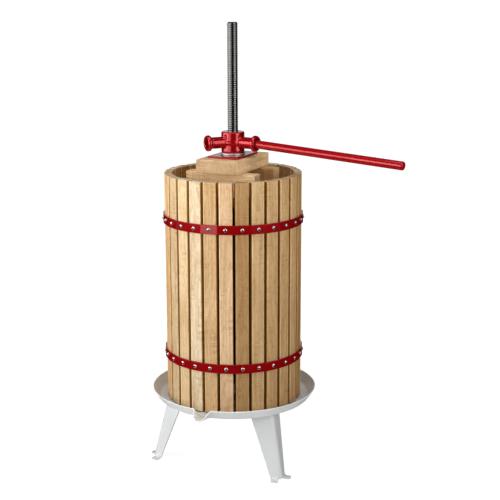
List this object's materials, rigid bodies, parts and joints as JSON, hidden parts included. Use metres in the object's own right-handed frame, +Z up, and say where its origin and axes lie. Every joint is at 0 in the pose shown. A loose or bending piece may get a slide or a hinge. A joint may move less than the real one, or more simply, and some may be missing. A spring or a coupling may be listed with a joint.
{
  "type": "fruit press",
  "caption": "Wooden basket fruit press on a legged steel tray; a levered nut on a fixed screw drives pressing blocks down into the slatted basket.",
  "frame": {"origin": "on the screw's axis at floor level, in the middle of the three feet", "axes": "+Z up along the screw; -Y is the front, midway between the two front legs; the lever lies towards +X"},
  "size_m": [0.5202, 0.3479, 0.857],
  "materials": {
    "slat_wood": "planed beech, unvarnished",
    "block_wood": "planed beech, unvarnished",
    "hoop_red": "gloss paint",
    "plate_red": "gloss paint",
    "casting_red": "gloss paint on a casting",
    "lever_red": "gloss paint",
    "tray_enamel": "satin light grey paint",
    "leg_enamel": "satin light grey paint",
    "spindle_steel": "rolled thread",
    "zinc": "zinc plated",
    "bright_screw": "bright plated",
    "dark_screw": "blackened"
  },
  "bodies": {
    "base": {"tray": "tray_enamel", "leg_left": "leg_enamel", "leg_right": "leg_enamel", "leg_rear": "leg_enamel", "leg_bolts": "zinc", "leg_nuts": "zinc", "spindle": "spindle_steel", "base_plate": "zinc", "base_nut": "zinc", "foot_washer": "zinc", "foot_nut": "zinc", "slat_01": "slat_wood", "slat_02": "slat_wood", "slat_03": "slat_wood", "slat_04": "slat_wood", "slat_05": "slat_wood", "slat_06": "slat_wood", "slat_07": "slat_wood", "slat_08": "slat_wood", "slat_09": "slat_wood", "slat_10": "slat_wood", "slat_11": "slat_wood", "slat_12": "slat_wood", "slat_13": "slat_wood", "slat_14": "slat_wood", "slat_15": "slat_wood", "slat_16": "slat_wood", "slat_17": "slat_wood", "slat_18": "slat_wood", "slat_19": "slat_wood", "slat_20": "slat_wood", "slat_21": "slat_wood", "slat_22": "slat_wood", "slat_23": "slat_wood", "slat_24": "slat_wood", "slat_25": "slat_wood", "slat_26": "slat_wood", "slat_27": "slat_wood", "lower_hoop": "hoop_red", "upper_hoop": "hoop_red", "lower_hoop_screws": "bright_screw", "upper_hoop_screws": "bright_screw"},
    "stack": {"press_plate_left": "block_wood", "press_plate_right": "block_wood", "cross_block_front": "block_wood", "cross_block_rear": "block_wood", "top_block": "block_wood", "bearing_plate": "plate_red", "plate_screws": "dark_screw", "thrust_washer": "zinc"},
    "nut": {"press_nut": "casting_red"},
    "lever": {"lever": "lever_red"}
  },
  "joints": [
    {"name": "press_travel", "type": "slide", "parent": "base", "child": "stack", "axis": [0, 0, 1], "range_m": [-0.04, 0.2]},
    {"name": "nut_turn", "type": "hinge", "parent": "stack", "child": "nut", "pos_m": [0, 0, 0.633], "axis": [0, 0, 1], "range_deg": [-3600, 18000]},
    {"name": "lever_slide", "type": "slide", "parent": "nut", "child": "lever", "axis": [0.9867, -0.1563, -0.0436], "range_m": [0, 0.031]}
  ],
  "couplings": [
    {"joint": "press_travel", "follows": "nut_turn", "m_per_rad": 0.00063662}
  ]
}
